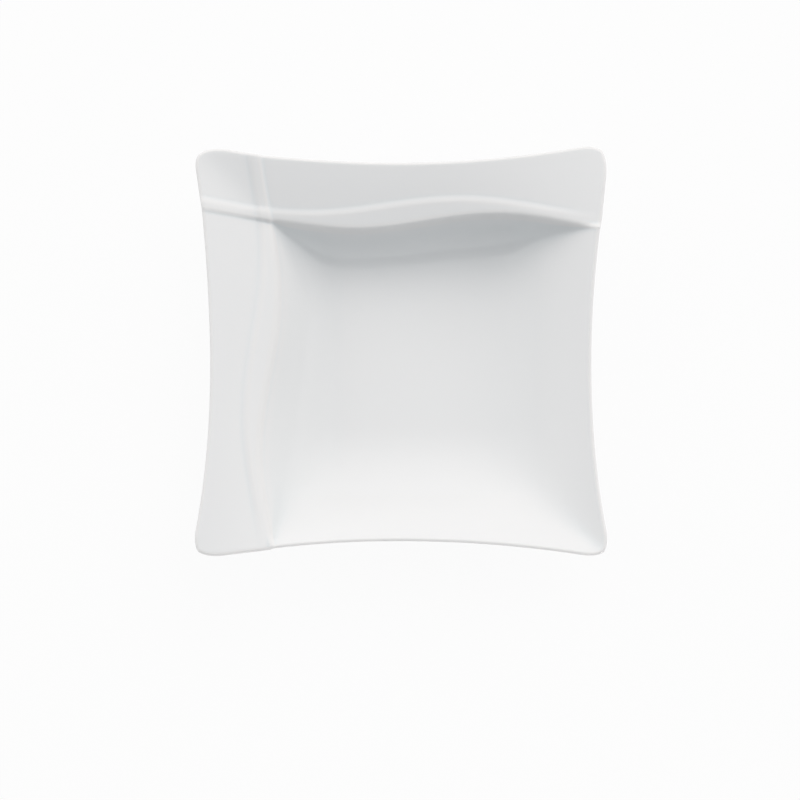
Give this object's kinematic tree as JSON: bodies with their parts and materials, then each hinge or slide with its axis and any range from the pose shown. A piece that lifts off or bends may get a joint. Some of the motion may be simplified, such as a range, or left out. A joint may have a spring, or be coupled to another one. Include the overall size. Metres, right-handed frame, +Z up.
{
  "type": "square soup plate",
  "caption": "Deep square soup plate in white glazed porcelain: bowed-in sides, a square well, sloping flanges with a raised wave line along the back and the left, and a round foot ring.",
  "frame": {"origin": "on the table under the middle of the plate", "axes": "+Z up, +X to the right and +Y to the back as the picture shows the plate, with the wave lines along the back and the left"},
  "size_m": [0.2397, 0.239, 0.0555],
  "materials": {
    "fired_porcelain": "bare fired porcelain, matt and fine-grained, ground flat where the plate stands",
    "white_glaze": "clear gloss over white porcelain, a little blue where it pools in the creases"
  },
  "bodies": {
    "root": {"porcelain_body": "fired_porcelain", "glaze_coat": "white_glaze", "foot_recess_glaze": "white_glaze"}
  },
  "joints": []
}
